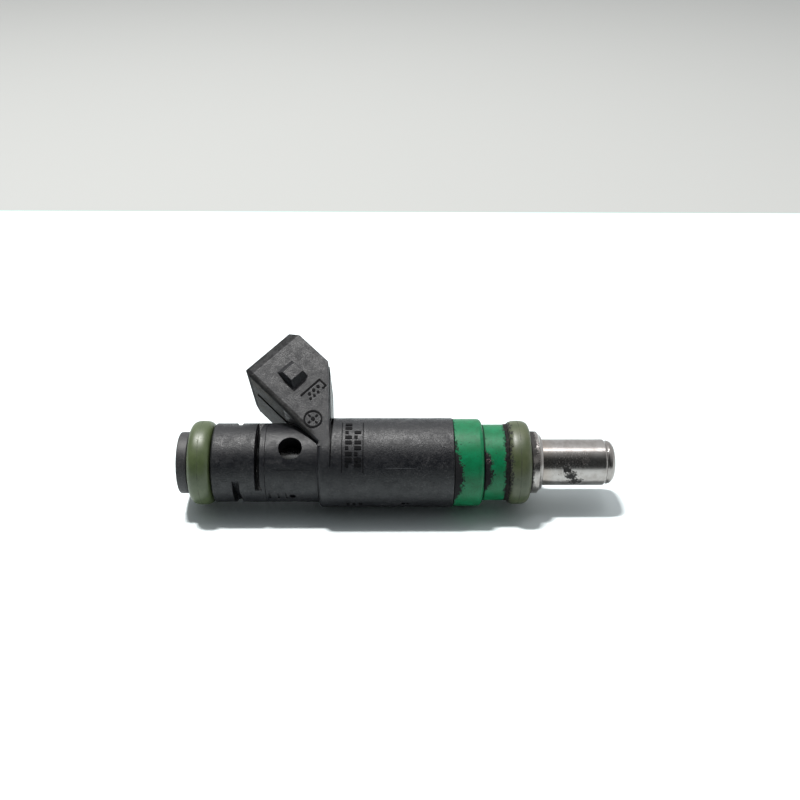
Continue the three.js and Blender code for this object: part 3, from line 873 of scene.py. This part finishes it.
def small_cuts():
    """Moulding details: the core hole, two parting grooves, dents, and gate marks on the sleeve."""
    hole_x, hole_r, reach = 19.46, 2.0, 10
    cuts = [solid(cylinder(Vector((hole_x, -reach, 0)), Vector((hole_x, reach, 0)), hole_r, 72))]
    seam, groove = 15.2, 0.12
    sharp = [(seam, SLEEVE_R - 0.07), (seam + groove, SLEEVE_R + 0.1), (seam - groove, SLEEVE_R + 0.1)]
    cuts.append(solid(lathe(sharp)))
    cuts.append(solid(patch(16.6, 22.2, 23.9, 24.8, SLEEVE_R - 0.09, SLEEVE_R + 0.5)))
    dents = [(19.7, -22.3, 0.52, SLEEVE_R), (38.6, -31, 0.4, BARREL_R), (39.4, -31.5, 0.3, BARREL_R)]
    for x, turn, size, r in dents:
        cuts.append(solid(cylinder(towards(turn, x, r - 0.45), towards(turn, x, r + 1), size, 24)))
    for x in (15.7, 17.2, 18.5):
        cuts.append(solid(patch(x, x + 0.3, -27, -14, SLEEVE_R - 0.17, SLEEVE_R + 0.5)))
    return cuts


def overmould():
    """The whole black moulding."""
    body = overmould_outer()
    combine(body, [hood_body(), *hood_ribs(), latch_lug(1), latch_lug(-1)], "UNION")
    cuts = [overmould_bore(), *socket_cut(), terminal(1, GAP), terminal(-1, GAP)]
    cuts += [*clip_slots(), *side_slots(), *plate_gaps(), *small_cuts()]
    return combine(body, cuts, "DIFFERENCE")


hand_over(overmould(), "overmould_shell", "black_plastic", ["connector_overmould"], smooth=28)

# ---------------------------------------------------------------- raised marks


def barrel_marks():
    """Plain moulded marks where the real one is lettered: two rows of bars between two thin ridges."""
    low, ridge, high = BARREL_R - 0.1, BARREL_R + 0.05, BARREL_R + MARK
    first_turn, pitch, bar_turn = 29, 7.4, 4.4
    parts = [patch(x, x + 0.14, 22, 96, low, ridge, 24) for x in (28.15, 31.7)]
    for row, x in enumerate((28.75, 30.3)):
        for k in range(9 - 2 * row):
            turn = first_turn + pitch * k
            tall = 1.15 if (k + row) % 3 else 0.55
            parts.append(patch(x, x + tall, turn, turn + bar_turn, low, high))
    parts += [patch(x, x + 0.5, -36, -28, low, ridge) for x in (28.9, 29.9, 31.0)]
    return merged(*parts)


PLATE_TOP = -HOOD_SIDE - MARK
PLATE_UNDER = -HOOD_SIDE + 0.1


def flat_mark(outline):
    """A raised mark on the plate that faces the viewer, from (depth, across) points."""
    return skinned([[hood(d, a, y) for d, a in outline] for y in (PLATE_TOP, PLATE_UNDER)])


def bar(start, end, width=0.26):
    """A straight stroke between two (depth, across) points."""
    start, end = Vector(start), Vector(end)
    off = (end - start).normalized().orthogonal() * (width / 2)
    return flat_mark([start + off, end + off, end - off, start - off])


def circled(middle, radius, sides):
    """Points spaced evenly round a circle."""
    turns = [2 * math.pi * k / sides for k in range(sides)]
    return [(middle[0] + radius * math.cos(a), middle[1] + radius * math.sin(a)) for a in turns]


def disc(middle, radius):
    """A round dot."""
    return flat_mark(circled(middle, radius, 20))


def hoop(middle, inner, outer, sides=48):
    """A flat ring that closes on itself."""
    rows = []
    for near, far in zip(circled(middle, inner, sides), circled(middle, outer, sides)):
        corners = ((near, PLATE_UNDER), (far, PLATE_UNDER), (far, PLATE_TOP), (near, PLATE_TOP))
        rows.append([hood(*spot, y) for spot, y in corners])
    return skinned(rows, closed=True)


def plate_marks():
    """A bracket with two rows of dots, and a plain dial: a ring, a centre dot and four ticks."""
    strokes = [((10.6, -2.1), (10.6, 2.3)), ((10.5, 2.3), (12.3, 2.3)), ((12.2, 2.3), (12.2, 1.5))]
    parts = [bar(start, end) for start, end in strokes]
    for k in range(3):
        parts.append(disc((11.4, 1.0 * k - 0.8), 0.3))
        parts.append(disc((12.2, 0.9 * k - 1.3), 0.24))
    dial = (15.25, -3.6)
    parts.append(hoop(dial, 1.34, 1.62))
    parts.append(disc(dial, 0.34))
    for inner, outer in zip(circled(dial, 0.6, 4), circled(dial, 1.1, 4)):
        parts.append(bar(inner, outer))
    return merged(*parts)


for name, marks in (("barrel_marks", barrel_marks()), ("plate_marks", plate_marks())):
    piece = hand_over(solid(marks), name, "black_plastic")
    piece.data.materials[0] = shaded_mark_finish

# ---------------------------------------------------------------- turned pieces


def turned(name, corners, slot, node, steps=4, **options):
    """A turned piece that stands for one CAD node."""
    return hand_over(solid(lathe(rounded(corners, steps))), name, slot, [node], **options)


turned(
    "green_sleeve",
    [
        (GREEN_START, BODY_R + GAP, 0.1),
        (GREEN_START, STEP_R, 0.05),
        (STEP_END, STEP_R, 0.7),
        (STEP_END, 6.35, 0.05),
        (STEP_END + 0.25, 6.35, 0.05),
        (STEP_END + 0.25, GREEN_R, 0.1),
        (GREEN_END, GREEN_R, 0.2),
        (GREEN_END, BODY_R + GAP, 0.1),
    ],
    "green_plastic",
    "lower_sleeve",
)

turned(
    "inlet_cap",
    [
        (0, 5.35, 0.22),
        (CAP_END, 5.35, 0.22),
        (CAP_END, TUBE_R + GAP, 0.05),
        (0.4, TUBE_R + GAP, 0.05),
        (0.4, 2.6, 0.05),
        (0, 2.6, 0.2),
    ],
    "cap_plastic",
    "inlet_retainer_cap",
)

turned(
    "seal_collar",
    [
        (COLLAR_START, 5.42, 0.25),
        (COLLAR_START + 1.4, 5.42, 0.12),
        (COLLAR_START + 1.62, 5.1, 0.1),
        (COLLAR_END, 4.78, 0.2),
        (COLLAR_END, NOZZLE_R + GAP, 0.03),
        (COLLAR_START, NOZZLE_R + GAP, 0.03),
    ],
    "stainless",
    "o_ring_collar",
)

turned(
    "nozzle_body",
    [
        (44.4, 6.4, 0.2),
        (46.9, 6.4, 0.2),
        (46.9, BODY_R, 0.1),
        (56.0, BODY_R, 0.2),
        (56.0, NOZZLE_R, 0.1),
        (73.55, NOZZLE_R, 0.15),
        (73.85, 3.76, 0.06),
        (74.05, 3.74, 0.06),
        (74.2, 3.84, 0.08),
        (74.7, 3.72, 0.25),
        (75.1, 3.38, 0.15),
        (LENGTH, 2.95, 0.15),
        (LENGTH, 2.3, 0.1),
        (74.95, 2.3, 0.02),
        (74.95, 3.2, 0),
        (70.7, 3.2, 0),
        (70.7, 2.7, 0.1),
        (48.2, 2.7, 0.1),
        (48.2, 3.75, 0),
        (44.4, 3.75, 0.1),
    ],
    "stainless",
    "valve_body",
)


def seal_ring(name, x, inner, slot, node):
    """An O-ring squeezed in its groove, with the fine flash line of its mould round the outside."""
    count, half_width, squeeze = 64, 1.98, 0.72
    flash_height, flash_width = 0.05, 0.1
    middle, half = (SEAL_R + inner) / 2, (SEAL_R - inner) / 2
    outline = []
    for k in range(count):
        a = 2 * math.pi * (k + 0.5) / count
        along = math.copysign(abs(math.cos(a)) ** squeeze, math.cos(a))
        out = math.copysign(abs(math.sin(a)) ** squeeze, math.sin(a))
        from_line = along * half_width / flash_width
        flash = flash_height * math.exp(-(from_line**2)) if out > 0 else 0
        outline.append((x + half_width * along, middle + half * out + flash))
    hand_over(solid(lathe(outline)), name, slot, [node], smooth=60)


seal_ring("seal_upper", UPPER_SEAL_X, NECK_R + GAP, "upper_seal_rubber", "upper_o_ring")
seal_ring("seal_lower", LOWER_SEAL_X, NOZZLE_R + GAP, "lower_seal_rubber", "lower_o_ring")


def lumpy(bm, size, pitch):
    """Pushes a mesh in and out at random, like baked-on dirt."""
    bm.normal_update()
    for v in bm.verts:
        push = noise.noise(v.co * pitch) + 0.6 * noise.noise(v.co * pitch * 2.7)
        v.co += v.normal * push * size
    return bm


def seal_residue():
    """The ragged ring of residue between the green sleeve and the lower seal."""
    corners = [(55.98, 6.48), (56.1, 6.6), (56.35, 6.66), (56.6, 6.7)]
    corners += [(56.6, 6.3), (56.45, 5.4), (56.18, 5.4)]
    ring = lathe(rounded([(x, r, 0.08) for x, r in corners], 3), 260)
    piece = hand_over(solid(lumpy(ring, 0.1, 1.7)), "seal_residue", "lower_seal_rubber", smooth=80)
    piece.data.materials[0] = crust_finish


seal_residue()

for side, node in ((1, "terminal_pin_1"), (-1, "terminal_pin_2")):
    hand_over(terminal(side), "blade_" + node[-1], "tinned_terminal", [node])


# ---------------------------------------------------------------- inside


turned(
    "fuel_tube",
    [
        (0.5, TUBE_R, 0.1),
        (26.5, TUBE_R, 0.05),
        (26.5, 3.6, 0.1),
        (40.2, 3.6, 0.1),
        (40.2, 1.9, 0.1),
        (12.5, 1.9, 0.1),
        (12.5, 2.5, 0.05),
        (0.5, 2.5, 0.2),
    ],
    "ground_stainless",
    "inlet_tube",
)

turned(
    "gauze_sleeve",
    [(1.9, 1.9, 0.03), (9.7, 1.9, 0.03), (9.7, 1.75, 0.03), (1.9, 1.75, 0.03)],
    "filter_gauze",
    "filter_mesh",
    steps=2,
)


def basket():
    """The filter's frame: a mouth ring, four ribs and a closed foot."""
    mouth = [(0.6, 2.4, 0.1), (1.8, 2.4, 0.1), (1.8, 1.9, 0.1), (0.6, 1.9, 0.15)]
    foot = [(9.8, 0, 0), (9.8, 2.4, 0.1), (10.6, 2.4, 0.2), (10.6, 0, 0)]
    body = solid(lathe(rounded(mouth, 3), 96))
    parts = [solid(lathe(rounded(foot, 3, closed=False), 96))]
    for k in range(4):
        rib = block(1.5, 10.1, -0.25, 0.25, 2.05, 2.35)
        bmesh.ops.rotate(rib, matrix=Matrix.Rotation(k * math.pi / 2, 3, "X"), verts=rib.verts)
        parts.append(solid(rib))
    return combine(body, parts, "UNION")


hand_over(basket(), "filter_basket", "natural_nylon", ["filter_frame"])


def spray_plate():
    """The metering plate with its four spray holes, countersunk from outside."""
    x0, x1, radius, circle = 74.15, 74.35, 3.1, 0.28
    body = solid(lathe([(x0, 0), (x0, radius), (x1, radius), (x1, 0)], 96))
    holes = []
    for k in range(4):
        a = (k + 0.5) * math.pi / 2
        start = Vector((x0 - 0.15, circle * math.cos(a), circle * math.sin(a)))
        holes.append(solid(cylinder(start, start + Vector((0.5, 0, 0)), 0.1, 20, 0.15)))
    return combine(body, holes, "DIFFERENCE")


hand_over(spray_plate(), "spray_plate", "ground_stainless", ["orifice_plate"])

turned(
    "tip_ring",
    [(74.45, 3.1, 0.05), (74.85, 3.1, 0.05), (74.85, 1.9, 0.12), (74.45, 1.9, 0.05)],
    "ground_stainless",
    "tip_retainer",
)

# The CAD nodes that still show keep their own meshes and get the finish of their slot.
for part in frame["record"]["subparts"]:
    node = frame["nodes"][part["node"]]
    node.data.materials.clear()
    node.data.materials.append(finish[part["material_slot"]])

# ---------------------------------------------------------------- floor, light and camera


def stage_plane(name, x0, x1, y0, y1, z, color, roughness):
    """A level stretch of floor, very slightly clouded."""
    m = Finish(name)
    point = m.add("TexCoord", {}, out=3)
    cloud = m.noise(point, 9.0, 3, 0.5)
    tint = m.mix(cloud, color, tuple(c * 0.985 for c in color))
    bm = bmesh.new()
    bm.faces.new([bm.verts.new(p) for p in ((x0, y0, z), (x1, y0, z), (x1, y1, z), (x0, y1, z))])
    plane = solid(bm, name)
    plane.data.materials.append(m.surface(tint, roughness, Specular_IOR_Level=0.3))


# A pale table that ends behind the part, its thin rim, and a duller floor beyond.
TABLE_EDGE, RIM_END, FAR = 0.14, 0.1412, 4
stage_plane("table", -3, 3, -3, TABLE_EDGE, 0, (0.79, 0.855, 0.87), 0.5)
stage_plane("table_rim", -3, 3, TABLE_EDGE, RIM_END, -0.0002, (0.33, 0.47, 0.43), 0.4)
stage_plane("far_floor", -3, 3, RIM_END, FAR, -0.0004, (0.40, 0.405, 0.395), 0.6)


def area_light(name, position, length, width, power, color):
    """A flat lamp that faces the part's middle, with its length along the part's."""
    data = bpy.data.lights.new(name, "AREA")
    data.shape = "RECTANGLE"
    data.size = length
    data.size_y = width
    data.energy = power
    data.color = color
    light = bpy.data.objects.new(name, data)
    away = (position - CENTRE).normalized()
    along = (Vector((1, 0, 0)) - away * away.x).normalized()
    turn = Matrix((along, away.cross(along), away)).transposed()
    light.matrix_world = Matrix.Translation(position) @ turn.to_4x4()
    bpy.context.scene.collection.objects.link(light)


def overhead(distance, aside, behind):
    """A place this far above the part, with its offsets to the right and behind per unit of height."""
    return CENTRE + Vector((aside, behind, 1)).normalized() * distance


CENTRE = Vector((0, AXIS.y, AXIS.z))
# The key casts the shadow. The small lamp on the right puts the bright line on the nozzle.
area_light("key", overhead(0.9, -0.2, 0.21), 0.12, 0.06, 10.8, (1.0, 0.99, 0.975))
area_light("glint", overhead(0.9, 0.2, 0.15), 0.2, 0.2, 0.6, (1.0, 0.99, 1.0))


def sky():
    """A studio's surround: pale behind the part and to its right, dim on the camera's side."""
    world = bpy.data.worlds.new("studio")
    world.use_nodes = True
    tree = world.node_tree
    tree.nodes.clear()
    where = tree.nodes.new("ShaderNodeTexCoord")
    back = tree.nodes.new("ShaderNodeVectorMath")
    back.operation = "DOT_PRODUCT"
    back.inputs[1].default_value = Vector((0.35, 1, 0)).normalized()
    tree.links.new(where.outputs["Generated"], back.inputs[0])
    shift = tree.nodes.new("ShaderNodeMapRange")
    ramp = tree.nodes.new("ShaderNodeValToRGB")
    shift.inputs["From Min"].default_value = -1
    shift.inputs["From Max"].default_value = 1
    tree.links.new(back.outputs["Value"], shift.inputs["Value"])
    tree.links.new(shift.outputs[0], ramp.inputs[0])
    ramp.color_ramp.elements[0].position = 0.25
    ramp.color_ramp.elements[0].color = (0.042, 0.046, 0.047, 1)
    ramp.color_ramp.elements[1].position = 0.7
    ramp.color_ramp.elements[1].color = (0.84, 0.86, 0.87, 1)
    glow = tree.nodes.new("ShaderNodeBackground")
    tree.links.new(ramp.outputs[0], glow.inputs["Color"])
    glow.inputs["Strength"].default_value = 1.0
    out = tree.nodes.new("ShaderNodeOutputWorld")
    tree.links.new(glow.outputs[0], out.inputs["Surface"])
    bpy.context.scene.world = world


sky()
bpy.context.scene.view_settings.view_transform = "Standard"

# The camera looks down at the axis just left of the part's middle, from the connector's side.
LENS = 41.58
SENSOR = 36.0
PITCH = math.radians(31.45)
YAW = math.radians(-0.94)
AIM = Vector((38.1 * MM + AXIS.x, AXIS.y, AXIS.z))
AIM_IN_VIEW = Vector((0, -10.91 * MM, -162.1 * MM))

camera_data = bpy.data.cameras.new("camera")
camera_data.lens = LENS
camera_data.sensor_width = SENSOR
camera_data.clip_start = 0.005
camera_data.clip_end = 20
camera = bpy.data.objects.new("camera", camera_data)
turn = Matrix.Rotation(math.pi / 2 - PITCH, 3, "X") @ Matrix.Rotation(YAW, 3, "Y")
camera.matrix_world = Matrix.Translation(AIM - turn @ AIM_IN_VIEW) @ turn.to_4x4()
bpy.context.scene.collection.objects.link(camera)
bpy.context.scene.camera = camera
